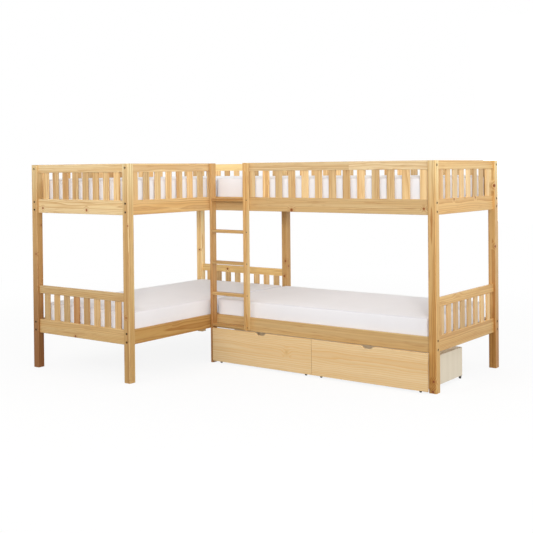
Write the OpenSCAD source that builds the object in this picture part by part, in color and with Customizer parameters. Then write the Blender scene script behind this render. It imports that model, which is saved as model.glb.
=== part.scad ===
// L shaped bunk bed. Two bunks stand at right angles, each with a bed above and a bed below.
// A ladder stands in the inner corner and two drawers roll out from under the right bunk.
// X runs along the right bunk, +Y goes to the back, and the floor is z = 0.

/* [Mattresses] */
// Length of each mattress
mattress_l = 1905; // [1850:5:1980]
// Width of each mattress
mattress_w = 965; // [900:5:1000]
// Thickness of each mattress
mattress_h = 180; // [120:5:200]

/* [Frame] */
// Height of the posts
post_h = 1600; // [1560:5:1700]
// Width of the square posts
post_w = 58; // [54:1:68]
// Thickness of the rails
rail_t = 22; // [18:1:26]
// Height of the top rails and of the narrow end rails
top_rail_h = 63; // [50:1:75]
// Height of the rails that carry the beds
bed_rail_h = 108; // [104:1:130]
// Underside of the lower bed rails above the floor
low_rail_z = 275; // [240:1:320]
// Underside of the upper bed rails above the floor
high_rail_z = 1223; // [1150:1:1260]
// Underside of the rail at the top of each lower end panel
mid_rail_z = 587; // [520:1:680]
// Width of the upright slats
slat_w = 60; // [45:1:70]
// Thickness of the upright slats
slat_t = 12; // [8:1:14]
// Number of slats across the bed under each mattress
bed_slat_count = 13; // [9:1:16]

/* [Ladder] */
// Clear width between the ladder stiles
ladder_w = 318; // [280:1:360]
// Thickness of the ladder stiles
stile_t = 22; // [20:1:28]
// Depth of the ladder stiles, front to back
stile_d = 58; // [52:1:70]
// Thickness of the rungs
rung_t = 24; // [20:1:30]
// Depth of the rungs, front to back
rung_d = 52; // [46:1:52]

/* [Drawers] */
// Depth of the drawer box behind its front
drawer_d = 572; // [420:1:800]
// Thickness of the drawer fronts
front_t = 16; // [14:1:20]
// Space under the drawer fronts
front_gap = 16; // [12:1:18]
// Diameter of the caster wheels
wheel_d = 20; // [18:0.5:24]

/* [Hidden] */
$fn = 32;

// How far a rail sits inside the faces of the posts
rail_in = (post_w - rail_t) / 2;
rail_back = rail_in + rail_t;

// Clear lengths between the end posts, and the outside sizes that follow from them
left_clear = mattress_l + 9;
right_clear = mattress_l + 5;
// A mattress keeps this far from the rails and posts beside it
mattress_gap = 2.5;
// Side to side play, so that the right mattresses lie in front of the corner post
bed_play = rail_in + 3;
bed_w = mattress_w + bed_play + 2 * rail_back;
left_len = left_clear + 2 * post_w;
overall_w = bed_w + right_clear + post_w;
end_clear = bed_w - 2 * post_w;

// Heights of the slatted bed bases and of the top rails
top_rail_z = post_h - top_rail_h;
low_seat_z = low_rail_z + 36;
high_seat_z = high_rail_z + 62;
bed_slat_t = 20;
bed_slat_w = 68;
ledger_t = 20;
ledger_h = 25;

// Upright slats sit this deep in the rails above and below them
mortise = 10;
end_gap = (end_clear - 8 * slat_w) / 9;

// Stub tenons of the end rails
tenon_l = 20;
tenon_t = 12;
end_rails = [
    [low_rail_z, bed_rail_h],
    [mid_rail_z, top_rail_h],
    [high_rail_z, bed_rail_h],
    [top_rail_z, top_rail_h]
];

// Bolts, and the barrel nuts that they pull on
bolt_d = 8;
bore_d = 9;
head_d = 13;
head_h = 5;
recess_d = 16;
recess = 10;
nut_d = 14;
nut_x = 50;
nut_depth = rail_t - 3;
nut_l = rail_t - 4;
stud_l = 26;
bed_bolts = [bed_rail_h / 2 - 31, bed_rail_h / 2 + 31];
top_bolts = [top_rail_h / 2];
stud_bolts = [bed_rail_h / 2 - 18, bed_rail_h / 2 + 18];
low_corner_bolts = [60, 92];
high_corner_bolts = [16, 92];
bed_bolt_z = concat(
    [for (z = bed_bolts) low_rail_z + z],
    [for (z = bed_bolts) high_rail_z + z]
);
all_bolt_z = concat(bed_bolt_z, [top_rail_z + top_rail_h / 2]);

// Ladder places: x counts from the inner face of the left bunk
stile_x = 10;
ladder_x = stile_x + ladder_w;
stile_y = -bed_w + rail_in - stile_d;
rung_first = low_rail_z + 32;
rung_pitch = (high_rail_z - low_rail_z + 52) / 4;
rung_z = [for (i = [0:4]) rung_first + i * rung_pitch];
stile_foot = low_rail_z + 12;
screw_d = 5;
screw_head = 9.6;
screw_recess = 3;
screw_y = 18;
dowel_y = 38;
dowel_d = 8;
low_stile_screws = [48, 76];
high_stile_screws = [28, 76];

// The inner guard of the left bunk stops at the middle of the right bunk's front rail
inner_guard_l = left_len - bed_w - post_w / 2;
front_guard_l = right_clear - ladder_x;

// Drawers: y counts from the front face of the right bunk
drawer_x = stile_x + 2;
drawer_gap = 3;
front_w = (right_clear + 12 - drawer_x - drawer_gap) / 2;
front_y = -27;
front_top = low_rail_z + 6;
box_in = 19;
box_w = front_w - 2 * box_in;
box_side = 12;
box_back = 15;
box_bottom = 10;
box_top = low_rail_z - 44;
box_end = front_y + drawer_d;
housing = 6;
caster_h = wheel_d + 4;
wheel_w = 12;
axle_d = 4;
wheel_bore = 4.1;
front_wheel = [48, front_y + wheel_d / 2 + 2];
rear_wheel = [11.5, box_end - 12];

pine = [0.84, 0.68, 0.44];
pine_dark = [0.78, 0.60, 0.37];
pale_pine = [0.88, 0.76, 0.55];
ply = [0.86, 0.81, 0.72];
cloth = [0.91, 0.89, 0.89];
steel = [0.25, 0.22, 0.20];
zinc = [0.62, 0.62, 0.62];
tyre = [0.30, 0.30, 0.30];

// ---- places ----

// From the back left corner to the middle of the whole bed
module whole() {
    translate([-overall_w / 2, left_len / 2, 0])
        children();
}

// Start of each long side at its first post: x runs along the rail, y through its thickness
module left_outer(z = 0) {
    whole()
        translate([rail_back, -left_len + post_w, z])
            rotate(90)
                children();
}

module left_inner(z = 0) {
    whole()
        translate([bed_w - rail_in, -left_len + post_w, z])
            rotate(90)
                children();
}

module right_back(z = 0) {
    whole()
        translate([bed_w, -rail_back, z])
            children();
}

module right_front(z = 0) {
    whole()
        translate([bed_w - rail_in, -bed_w + rail_in, z])
            children();
}

// Start of each end panel at its first post
module left_front_end(z = 0) {
    whole()
        translate([post_w, -left_len + rail_in, z])
            children();
}

module left_back_end(z = 0) {
    whole()
        translate([post_w, -rail_back, z])
            children();
}

module right_end(z = 0) {
    whole()
        translate([overall_w - rail_in, -bed_w + post_w, z])
            rotate(90)
                children();
}

// Front left corner of drawer 0 or 1, on the floor, in the plane of the bunk's front face
module in_drawer(i) {
    whole()
        translate([bed_w + drawer_x + i * (front_w + drawer_gap), -bed_w, 0])
            children();
}

// ---- wooden pieces ----

// Section of a planed board with its edges eased
module eased(w, t, c) {
    polygon([
        [c, 0],
        [w - c, 0],
        [w, c],
        [w, t - c],
        [w - c, t],
        [c, t],
        [0, t - c],
        [0, c]
    ]);
}

// Board that runs along X
module board(l, t, h, c = 2) {
    rotate([90, 0, 90])
        linear_extrude(l)
            eased(t, h, c);
}

// A face of a post: 0 is the front, 90 the right, 180 the back and 270 the left
module post_face(turn) {
    translate([post_w / 2, post_w / 2, 0])
        rotate(turn)
            translate([0, -post_w / 2, 0])
                children();
}

// Bolt way through a post, with a recess for the head
module post_bore(turn, heights) {
    for (z = heights) {
        post_face(turn)
            translate([0, 0, z])
                rotate([-90, 0, 0]) {
                    translate([0, 0, -1])
                        cylinder(d = recess_d, h = recess + 1);
                    translate([0, 0, recess - 1])
                        cylinder(d = bore_d, h = post_w);
                }
    }
}

// Mortises for the stub tenons of the end rails
module post_mortises(turn) {
    for (r = end_rails) {
        post_face(turn)
            translate([-tenon_t / 2, -1, r[0] + 10])
                cube([tenon_t, tenon_l + 1, r[1] - 20]);
    }
}

module post(x, y, bolt_turn, heights, tenon_turn) {
    color(pine)
        whole()
            translate([x, y, 0])
                difference() {
                    linear_extrude(post_h)
                        eased(post_w, post_w, 3);
                    post_bore(bolt_turn, heights);
                    post_mortises(tenon_turn);
                }
}

module post_left_front_outer() {
    post(0, -left_len, 0, all_bolt_z, 90);
}

module post_left_front_inner() {
    post(bed_w - post_w, -left_len, 0, all_bolt_z, 270);
}

module post_left_back_outer() {
    post(0, -post_w, 180, all_bolt_z, 90);
}

// The back corner post also takes the studs of the right bunk's back rails
module post_corner_back() {
    stud_z = concat(
        [for (z = stud_bolts) low_rail_z + z],
        [for (z = stud_bolts) high_rail_z + z],
        [top_rail_z + top_rail_h / 2]
    );
    difference() {
        post(bed_w - post_w, -post_w, 180, bed_bolt_z, 270);
        for (z = stud_z) {
            whole()
                translate([bed_w - stud_l, -post_w / 2, z])
                    rotate([0, 90, 0])
                        cylinder(d = bolt_d + 0.2, h = stud_l + 1);
        }
    }
}

module post_right_front() {
    post(overall_w - post_w, -bed_w, 90, all_bolt_z, 180);
}

module post_right_back() {
    post(overall_w - post_w, -post_w, 90, all_bolt_z, 0);
}

// Hole for a barrel nut: it opens on the face at y = 0, or on the other face when far is 1
module nut_hole(x, z, far) {
    translate([x, far == 1 ? rail_t - nut_depth : -1, z])
        rotate([-90, 0, 0])
            cylinder(d = nut_d + 0.2, h = nut_depth + 1);
}

// Rail with bolt ways and nut holes at its ends, and mortises for upright slats
module rail(l, h, start_bolts, end_bolts, far, over = [], under = []) {
    difference() {
        board(l, rail_t, h);
        for (z = start_bolts) {
            translate([-1, rail_t / 2, z])
                rotate([0, 90, 0])
                    cylinder(d = bore_d, h = nut_x + 12);
            nut_hole(nut_x, z, far);
        }
        for (z = end_bolts) {
            translate([l - nut_x - 11, rail_t / 2, z])
                rotate([0, 90, 0])
                    cylinder(d = bore_d, h = nut_x + 12);
            nut_hole(l - nut_x, z, far);
        }
        for (x = over) {
            translate([x, (rail_t - slat_t) / 2, h - mortise])
                cube([slat_w, slat_t, mortise + 1]);
        }
        for (x = under) {
            translate([x, (rail_t - slat_t) / 2, -1])
                cube([slat_w, slat_t, mortise + 1]);
        }
    }
}

// Barrel nuts of one rail
module rail_nuts(l, start_bolts, end_bolts, far) {
    y = far == 1 ? rail_t - nut_depth : nut_depth - nut_l;
    spots = concat(
        [for (z = start_bolts) [nut_x, z]],
        [for (z = end_bolts) [l - nut_x, z]]
    );
    for (s = spots) {
        translate([s[0], y, s[1]])
            difference() {
                rotate([-90, 0, 0])
                    cylinder(d = nut_d, h = nut_l);
                translate([-nut_d, rail_t / 2 - y, 0])
                    rotate([0, 90, 0])
                        cylinder(d = bolt_d + 0.2, h = 2 * nut_d);
            }
    }
}

// Upright slats from one rail to the next, tongued into both
module upright_slats(xs, z, h) {
    for (x = xs) {
        translate([x, (rail_t - slat_t) / 2, z - mortise])
            linear_extrude(h + 2 * mortise)
                eased(slat_w, slat_t, 1.5);
    }
}

// Places of a number of slats spread over a length, a little in from its ends
function spread(l, n) = [for (i = [0:n - 1]) 10 + i * (l - 20 - slat_w) / (n - 1)];

left_outer_slats = spread(left_clear, 16);
left_inner_slats = spread(inner_guard_l, 8);
right_back_slats = spread(right_clear, 16);
front_step = (front_guard_l - 360) / 10;
front_slats = concat(
    [10],
    [for (i = [0:10]) 180 - slat_w / 2 + i * front_step],
    [front_guard_l - 10 - slat_w]
);
end_slats = [for (i = [0:7]) end_gap + i * (slat_w + end_gap)];

// ---- end panels ----

// Rail between two posts of an end panel, with a stub tenon at each end
module end_rail(h, over, under) {
    rail(end_clear, h, [], [], 0, over, under);
    for (x = [-tenon_l, end_clear - 1]) {
        translate([x, (rail_t - tenon_t) / 2, 10])
            cube([tenon_l + 1, tenon_t, h - 20]);
    }
}

module end_rail_set() {
    translate([0, 0, low_rail_z])
        end_rail(bed_rail_h, end_slats, []);
    translate([0, 0, mid_rail_z])
        end_rail(top_rail_h, [], end_slats);
    translate([0, 0, high_rail_z])
        end_rail(bed_rail_h, end_slats, []);
    translate([0, 0, top_rail_z])
        end_rail(top_rail_h, [], end_slats);
}

module end_slat_set() {
    low_top = low_rail_z + bed_rail_h;
    high_top = high_rail_z + bed_rail_h;
    upright_slats(end_slats, low_top, mid_rail_z - low_top);
    upright_slats(end_slats, high_top, top_rail_z - high_top);
}

module end_rails_left_front() {
    color(pine)
        left_front_end()
            end_rail_set();
}

module end_slats_left_front() {
    color(pine_dark)
        left_front_end()
            end_slat_set();
}

module end_rails_left_back() {
    color(pine)
        left_back_end()
            end_rail_set();
}

module end_slats_left_back() {
    color(pine_dark)
        left_back_end()
            end_slat_set();
}

module end_rails_right() {
    color(pine)
        right_end()
            end_rail_set();
}

module end_slats_right() {
    color(pine_dark)
        right_end()
            end_slat_set();
}

// ---- long sides of the upper beds ----

guard_z = high_rail_z + bed_rail_h;
guard_h = top_rail_z - guard_z;

module guard_rail_left_outer() {
    color(pine)
        left_outer(top_rail_z)
            rail(left_clear, top_rail_h, top_bolts, top_bolts, 0, [], left_outer_slats);
}

module guard_slats_left_outer() {
    color(pine_dark)
        left_outer()
            upright_slats(left_outer_slats, guard_z, guard_h);
}

module upper_bed_rail_left_outer() {
    color(pine)
        left_outer(high_rail_z)
            rail(left_clear, bed_rail_h, bed_bolts, bed_bolts, 0, left_outer_slats, []);
}

module guard_rail_left_inner() {
    color(pine)
        left_inner(top_rail_z)
            rail(inner_guard_l, top_rail_h, top_bolts, [], 1, [], left_inner_slats);
}

module guard_slats_left_inner() {
    color(pine_dark)
        left_inner()
            upright_slats(left_inner_slats, guard_z, guard_h);
}

// The inner rails of the left bunk also take the bolts into the right bunk's front rails
module corner_rail(bolts, over) {
    difference() {
        rail(left_clear, bed_rail_h, bed_bolts, bed_bolts, 1, over, []);
        for (z = bolts) {
            translate([inner_guard_l, rail_t + 1, z])
                rotate([90, 0, 0]) {
                    cylinder(d = recess_d, h = head_h + 2);
                    cylinder(d = bore_d, h = rail_t + 2);
                }
        }
    }
}

module upper_bed_rail_left_inner() {
    color(pine)
        left_inner(high_rail_z)
            corner_rail(high_corner_bolts, left_inner_slats);
}

module guard_rail_right_back() {
    color(pine)
        right_back(top_rail_z)
            rail(right_clear, top_rail_h, top_bolts, top_bolts, 0, [], right_back_slats);
}

module guard_slats_right_back() {
    color(pine_dark)
        right_back()
            upright_slats(right_back_slats, guard_z, guard_h);
}

module upper_bed_rail_right_back() {
    color(pine)
        right_back(high_rail_z)
            rail(right_clear, bed_rail_h, stud_bolts, bed_bolts, 0, right_back_slats, []);
}

// Way for a screw that goes from the back of a rail into a ladder stile
module stile_screw_bores(xs, heights) {
    for (x = xs, z = heights) {
        translate([x, rail_t + 1, z])
            rotate([90, 0, 0]) {
                cylinder(d = screw_head + 0.2, h = screw_recess + 1);
                cylinder(d = screw_d + 0.2, h = rail_t + 2);
            }
    }
}

// Middles of the two stiles, counted from the end of the front rails
stile_mids = [rail_in + stile_x - stile_t / 2, rail_in + ladder_x + stile_t / 2];

module guard_rail_right_front() {
    color(pine)
        right_front(top_rail_z)
            difference() {
                translate([rail_in + ladder_x, 0, 0])
                    rail(front_guard_l, top_rail_h, [], top_bolts, 1, [], front_slats);
                stile_screw_bores([stile_mids[1]], top_bolts);
            }
}

module guard_slats_right_front() {
    color(pine_dark)
        right_front()
            translate([rail_in + ladder_x, 0, 0])
                upright_slats(front_slats, guard_z, guard_h);
}

module front_bed_rail(corner, screws, over) {
    difference() {
        rail(right_clear + rail_in, bed_rail_h, corner, bed_bolts, 1, over, []);
        stile_screw_bores(stile_mids, screws);
    }
}

module upper_bed_rail_right_front() {
    color(pine)
        right_front(high_rail_z)
            front_bed_rail(high_corner_bolts, high_stile_screws,
                [for (x = front_slats) x + rail_in + ladder_x]);
}

// ---- long sides of the lower beds ----

module lower_bed_rail_left_outer() {
    color(pine)
        left_outer(low_rail_z)
            rail(left_clear, bed_rail_h, bed_bolts, bed_bolts, 0);
}

module lower_bed_rail_left_inner() {
    color(pine)
        left_inner(low_rail_z)
            corner_rail(low_corner_bolts, []);
}

module lower_bed_rail_right_back() {
    color(pine)
        right_back(low_rail_z)
            rail(right_clear, bed_rail_h, stud_bolts, bed_bolts, 0);
}

module lower_bed_rail_right_front() {
    color(pine)
        right_front(low_rail_z)
            front_bed_rail(low_corner_bolts, low_stile_screws, []);
}

// ---- bed bases ----

// Ledger on the inner face of a rail, under the ends of the bed slats
module ledger(l, y, seat) {
    translate([2, y, seat - ledger_h])
        board(l - 4, ledger_t, ledger_h);
}

// The last piece is a small block under the lower ledger near the inner corner
module bed_ledgers() {
    color(pine_dark) {
        for (seat = [low_seat_z, high_seat_z]) {
            left_outer()
                ledger(left_clear, -ledger_t, seat);
            left_inner()
                ledger(left_clear, rail_t, seat);
            right_back()
                ledger(right_clear, -ledger_t, seat);
            right_front()
                ledger(right_clear + rail_in, rail_t, seat);
        }
        left_inner()
            translate([inner_guard_l - 165, rail_t, low_seat_z - ledger_h - 24])
                cube([47, ledger_t, 24]);
    }
}

base_l = bed_w - 2 * rail_back - 2;

module left_base(seat) {
    step = (left_clear - 40 - bed_slat_w) / (bed_slat_count - 1);
    whole()
        for (i = [0:bed_slat_count - 1]) {
            translate([rail_back + 1, -left_len + post_w + 20 + i * step, seat])
                board(base_l, bed_slat_w, bed_slat_t);
        }
}

module right_base(seat) {
    step = (right_clear - 40 - bed_slat_w) / (bed_slat_count - 1);
    whole()
        for (i = [0:bed_slat_count - 1]) {
            translate([bed_w + 20 + bed_slat_w + i * step, -bed_w + rail_back + 1, seat])
                rotate(90)
                    board(base_l, bed_slat_w, bed_slat_t);
        }
}

module bed_slats_upper_left() {
    color(pine)
        left_base(high_seat_z);
}

module bed_slats_lower_left() {
    color(pine)
        left_base(low_seat_z);
}

module bed_slats_upper_right() {
    color(pine)
        right_base(high_seat_z);
}

module bed_slats_lower_right() {
    color(pine)
        right_base(low_seat_z);
}

// Mattress with rounded corners in plan
module mattress(l, w) {
    r = 35;
    color(cloth) {
        translate([r, 0, 0])
            cube([l - 2 * r, w, mattress_h]);
        translate([0, r, 0])
            cube([l, w - 2 * r, mattress_h]);
        for (x = [r, l - r], y = [r, w - r]) {
            translate([x, y, 0])
                cylinder(r = r, h = mattress_h);
        }
    }
}

// The mattresses of both arms are pushed together over the inner rails of the left bunk
module left_mattress(seat) {
    whole()
        translate([
            bed_w - rail_back - mattress_gap - mattress_w,
            -left_len + post_w + 4.5,
            seat + bed_slat_t
        ])
            mattress(mattress_w, mattress_l);
}

module right_mattress(seat) {
    whole()
        translate([
            bed_w - rail_in + mattress_gap,
            -bed_w + rail_back + mattress_gap,
            seat + bed_slat_t
        ])
            mattress(mattress_l, mattress_w);
}

module mattress_upper_left() {
    left_mattress(high_seat_z);
}

module mattress_lower_left() {
    left_mattress(low_seat_z);
}

module mattress_upper_right() {
    right_mattress(high_seat_z);
}

module mattress_lower_right() {
    right_mattress(low_seat_z);
}

// ---- ladder ----

// Ways for the screws from the rails behind, at the back edge of a stile
module stile_back_bores(heights) {
    for (z = heights) {
        translate([stile_t / 2, stile_d + 1, z])
            rotate([90, 0, 0])
                cylinder(d = screw_d + 0.2, h = 37);
    }
}

// Screw ways through a stile and dowel holes in its inner face, one of each per rung
module stile_rung_bores(outer_x, turn) {
    for (z = rung_z) {
        translate([outer_x, screw_y, z])
            rotate([0, turn, 0]) {
                translate([0, 0, -1])
                    cylinder(d = screw_head + 0.2, h = screw_recess + 1);
                cylinder(d = screw_d + 0.2, h = stile_t + 1);
                translate([0, dowel_y - screw_y, stile_t - 10])
                    cylinder(d = dowel_d + 0.1, h = 11);
            }
    }
}

low_stile_z = [for (z = low_stile_screws) low_rail_z + z];
high_stile_z = [for (z = high_stile_screws) high_rail_z + z];

// This stile runs down to the floor and is the leg of the inner corner
module ladder_left_stile() {
    color(pine)
        whole()
            translate([bed_w + stile_x - stile_t, stile_y, 0])
                difference() {
                    linear_extrude(post_h)
                        eased(stile_t, stile_d, 2);
                    stile_back_bores(concat(low_stile_z, high_stile_z));
                    stile_rung_bores(0, 90);
                }
}

module ladder_right_stile() {
    color(pine)
        whole()
            translate([bed_w + ladder_x, stile_y, 0])
                difference() {
                    translate([0, 0, stile_foot])
                        linear_extrude(post_h - stile_foot)
                            eased(stile_t, stile_d, 2);
                    stile_back_bores(concat(low_stile_z, high_stile_z, [post_h - top_rail_h / 2]));
                    stile_rung_bores(stile_t, -90);
                }
}

module ladder_rungs() {
    color(pine)
        whole()
            for (z = rung_z) {
                translate([bed_w + stile_x, stile_y, z - rung_t / 2])
                    difference() {
                        board(ladder_w, rung_d, rung_t, 3);
                        for (x = [-1, ladder_w - 30]) {
                            translate([x, screw_y, rung_t / 2])
                                rotate([0, 90, 0])
                                    cylinder(d = screw_d + 0.2, h = 31);
                        }
                        for (x = [-1, ladder_w - 20]) {
                            translate([x, dowel_y, rung_t / 2])
                                rotate([0, 90, 0])
                                    cylinder(d = dowel_d + 0.1, h = 21);
                        }
                    }
            }
}

module rung_dowels() {
    color(pale_pine)
        whole()
            for (z = rung_z, x = [stile_x - 10, ladder_x - 20]) {
                translate([bed_w + x, stile_y + dowel_y, z])
                    rotate([0, 90, 0])
                        cylinder(d = dowel_d, h = 30);
            }
}

// Screw along +Z: the top of its head is at z = 0
module screw(l) {
    cylinder(d = screw_head, h = screw_recess);
    cylinder(d = screw_d, h = l);
}

module ladder_screws() {
    color(steel)
        whole() {
            for (z = rung_z) {
                translate([bed_w + stile_x - stile_t, stile_y + screw_y, z])
                    rotate([0, 90, 0])
                        screw(stile_t + 30);
                translate([bed_w + ladder_x + stile_t, stile_y + screw_y, z])
                    rotate([0, -90, 0])
                        screw(stile_t + 30);
            }
            for (x = stile_mids, z = concat(low_stile_z, high_stile_z)) {
                translate([bed_w - rail_in + x, -bed_w + rail_back, z])
                    rotate([90, 0, 0])
                        screw(rail_t + 36);
            }
            translate([bed_w - rail_in + stile_mids[1], -bed_w + rail_back, post_h - top_rail_h / 2])
                rotate([90, 0, 0])
                    screw(rail_t + 36);
        }
}

// ---- frame fasteners ----

// Socket head bolt along +Z, in from a face at z = 0 to the bottom of its recess and on
module bolt(deep, l) {
    difference() {
        union() {
            translate([0, 0, deep - head_h])
                cylinder(d = head_d, h = head_h);
            cylinder_from(deep, l);
        }
        translate([0, 0, deep - head_h - 1])
            cylinder(d = 6, h = 4, $fn = 6);
    }
}

module cylinder_from(deep, l) {
    translate([0, 0, deep - 1])
        cylinder(d = bolt_d, h = l - deep + 1);
}

module frame_bolts() {
    long = post_w + nut_x + 10;
    short = rail_t + nut_x + 10;
    left_x = post_w / 2;
    inner_x = bed_w - post_w / 2;
    front_y2 = -bed_w + post_w / 2;
    back_y = -post_w / 2;
    color(steel)
        whole() {
            for (x = [left_x, inner_x], z = all_bolt_z) {
                translate([x, -left_len, z])
                    rotate([-90, 0, 0])
                        bolt(recess, long);
            }
            for (z = all_bolt_z) {
                translate([left_x, 0, z])
                    rotate([90, 0, 0])
                        bolt(recess, long);
            }
            for (z = bed_bolt_z) {
                translate([inner_x, 0, z])
                    rotate([90, 0, 0])
                        bolt(recess, long);
            }
            for (y = [front_y2, back_y], z = all_bolt_z) {
                translate([overall_w, y, z])
                    rotate([0, -90, 0])
                        bolt(recess, long);
            }
            for (z = concat(
                [for (b = low_corner_bolts) low_rail_z + b],
                [for (b = high_corner_bolts) high_rail_z + b]
            )) {
                translate([bed_w - rail_back, front_y2, z])
                    rotate([0, 90, 0])
                        bolt(head_h + 1, short);
            }
            // plain studs that hold the right bunk's back rails to the corner post
            for (z = concat(
                [for (b = stud_bolts) low_rail_z + b],
                [for (b = stud_bolts) high_rail_z + b],
                [top_rail_z + top_rail_h / 2]
            )) {
                translate([bed_w - stud_l, back_y, z])
                    rotate([0, 90, 0])
                        cylinder(d = bolt_d, h = stud_l + nut_x + 10);
            }
        }
}

module barrel_nuts() {
    color(zinc) {
        for (z = [low_rail_z, high_rail_z]) {
            left_outer(z)
                rail_nuts(left_clear, bed_bolts, bed_bolts, 0);
            left_inner(z)
                rail_nuts(left_clear, bed_bolts, bed_bolts, 1);
            right_back(z)
                rail_nuts(right_clear, stud_bolts, bed_bolts, 0);
        }
        right_front(low_rail_z)
            rail_nuts(right_clear + rail_in, low_corner_bolts, bed_bolts, 1);
        right_front(high_rail_z)
            rail_nuts(right_clear + rail_in, high_corner_bolts, bed_bolts, 1);
        left_outer(top_rail_z)
            rail_nuts(left_clear, top_bolts, top_bolts, 0);
        left_inner(top_rail_z)
            rail_nuts(left_clear, top_bolts, [], 1);
        right_back(top_rail_z)
            rail_nuts(right_clear, top_bolts, top_bolts, 0);
        right_front(top_rail_z)
            rail_nuts(right_clear + rail_in, [], top_bolts, 1);
    }
}

// ---- drawers ----

// Front board with a finger notch in its top edge and grooves for the box sides
module drawer_front(i) {
    color(pale_pine)
        in_drawer(i)
            difference() {
                translate([0, front_y - front_t, front_gap])
                    board(front_w, front_t, front_top - front_gap, 1.5);
                translate([front_w / 2, front_y + 1, front_top])
                    rotate([90, 0, 0])
                        linear_extrude(front_t + 2)
                            polygon([
                                [-53.5, 1],
                                [-27.5, -20],
                                [27.5, -20],
                                [53.5, 1]
                            ]);
                for (x = [box_in, front_w - box_in - box_side]) {
                    translate([x, front_y - housing, caster_h])
                        cube([box_side, housing + 1, box_top - caster_h]);
                }
            }
}

module drawer_front_left() {
    drawer_front(0);
}

module drawer_front_right() {
    drawer_front(1);
}

// Box sides, each with a rebate along its bottom edge for the bottom panel
module drawer_sides(i) {
    color(ply)
        in_drawer(i)
            for (s = [0, 1]) {
                difference() {
                    translate([box_in + s * (box_w - box_side), front_y - housing, caster_h])
                        cube([box_side, housing + drawer_d - box_back, box_top - caster_h]);
                    translate([
                        s == 0 ? box_in + box_side - housing : box_in + box_w - box_side - 1,
                        front_y,
                        caster_h - 1
                    ])
                        cube([housing + 1, drawer_d, box_bottom + 1]);
                }
            }
}

module drawer_sides_left() {
    drawer_sides(0);
}

module drawer_sides_right() {
    drawer_sides(1);
}

// Back board, which covers the ends of the box sides
module drawer_back(i) {
    color(ply)
        in_drawer(i)
            translate([box_in, box_end - box_back, caster_h])
                cube([box_w, box_back, box_top - caster_h]);
}

module drawer_back_left() {
    drawer_back(0);
}

module drawer_back_right() {
    drawer_back(1);
}

module drawer_bottom(i) {
    color(ply)
        in_drawer(i)
            translate([box_in + box_side - housing, front_y, caster_h])
                cube([box_w - 2 * (box_side - housing), drawer_d - box_back, box_bottom]);
}

module drawer_bottom_left() {
    drawer_bottom(0);
}

module drawer_bottom_right() {
    drawer_bottom(1);
}

// Middles of a drawer's wheels: the front pair is 0 and the rear pair 1
function wheel_spots(pair) =
    let (p = pair == 0 ? front_wheel : rear_wheel)
    [for (x = [box_in + p[0], front_w - box_in - p[0]]) [x, p[1], wheel_d / 2]];

module at_wheels(i, pairs) {
    in_drawer(i)
        for (pair = pairs, s = wheel_spots(pair)) {
            translate(s)
                children();
        }
}

cheek_in = wheel_w / 2 + 0.7;
cheek_t = 1.5;

// Steel bracket: a plate under the box and a cheek on each side of the wheel
module caster_brackets(i) {
    drop = caster_h - wheel_d / 2;
    color(zinc)
        at_wheels(i, [0, 1]) {
            difference() {
                union() {
                    translate([-11, -11, drop - 1.5])
                        cube([22, 22, 1.5]);
                    for (x = [-cheek_in - cheek_t, cheek_in]) {
                        translate([x, -5.5, 0])
                            cube([cheek_t, 11, drop - 1]);
                        translate([x, 0, 0])
                            rotate([0, 90, 0])
                                cylinder(d = 11, h = cheek_t);
                    }
                }
                translate([-12, 0, 0])
                    rotate([0, 90, 0])
                        cylinder(d = axle_d, h = 24);
            }
        }
}

module caster_brackets_left() {
    caster_brackets(0);
}

module caster_brackets_right() {
    caster_brackets(1);
}

// Riveted axles, with a head outside each cheek
module caster_axles(i) {
    half = cheek_in + cheek_t;
    color(zinc)
        at_wheels(i, [0, 1])
            rotate([0, 90, 0]) {
                translate([0, 0, -half])
                    cylinder(d = axle_d, h = 2 * half);
                translate([0, 0, -half - 1])
                    cylinder(d = 7, h = 1);
                translate([0, 0, half])
                    cylinder(d = 7, h = 1);
            }
}

module caster_axles_left() {
    caster_axles(0);
}

module caster_axles_right() {
    caster_axles(1);
}

// Wheel with a slightly rounded tread, turning on its axle
module wheel() {
    rotate([0, 90, 0])
        rotate_extrude($fn = 48)
            polygon([
                [wheel_bore / 2, -wheel_w / 2],
                [wheel_d / 2 - 1.5, -wheel_w / 2],
                [wheel_d / 2, -wheel_w / 2 + 1.5],
                [wheel_d / 2, wheel_w / 2 - 1.5],
                [wheel_d / 2 - 1.5, wheel_w / 2],
                [wheel_bore / 2, wheel_w / 2]
            ]);
}

module wheels(i, pair) {
    color(tyre)
        at_wheels(i, [pair])
            wheel();
}

module wheels_front_left() {
    wheels(0, 0);
}

module wheels_rear_left() {
    wheels(0, 1);
}

module wheels_front_right() {
    wheels(1, 0);
}

module wheels_rear_right() {
    wheels(1, 1);
}

post_left_front_outer();
post_left_front_inner();
post_left_back_outer();
post_corner_back();
post_right_front();
post_right_back();
ladder_left_stile();
ladder_right_stile();
ladder_rungs();
rung_dowels();
end_rails_left_front();
end_slats_left_front();
end_rails_left_back();
end_slats_left_back();
end_rails_right();
end_slats_right();
guard_rail_left_outer();
guard_slats_left_outer();
upper_bed_rail_left_outer();
guard_rail_left_inner();
guard_slats_left_inner();
upper_bed_rail_left_inner();
guard_rail_right_back();
guard_slats_right_back();
upper_bed_rail_right_back();
guard_rail_right_front();
guard_slats_right_front();
upper_bed_rail_right_front();
lower_bed_rail_left_outer();
lower_bed_rail_left_inner();
lower_bed_rail_right_back();
lower_bed_rail_right_front();
bed_ledgers();
bed_slats_upper_left();
bed_slats_lower_left();
bed_slats_upper_right();
bed_slats_lower_right();
mattress_upper_left();
mattress_lower_left();
mattress_upper_right();
mattress_lower_right();
drawer_front_left();
drawer_sides_left();
drawer_back_left();
drawer_bottom_left();
drawer_front_right();
drawer_sides_right();
drawer_back_right();
drawer_bottom_right();
caster_brackets_left();
caster_brackets_right();
caster_axles_left();
caster_axles_right();
wheels_front_left();
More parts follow.
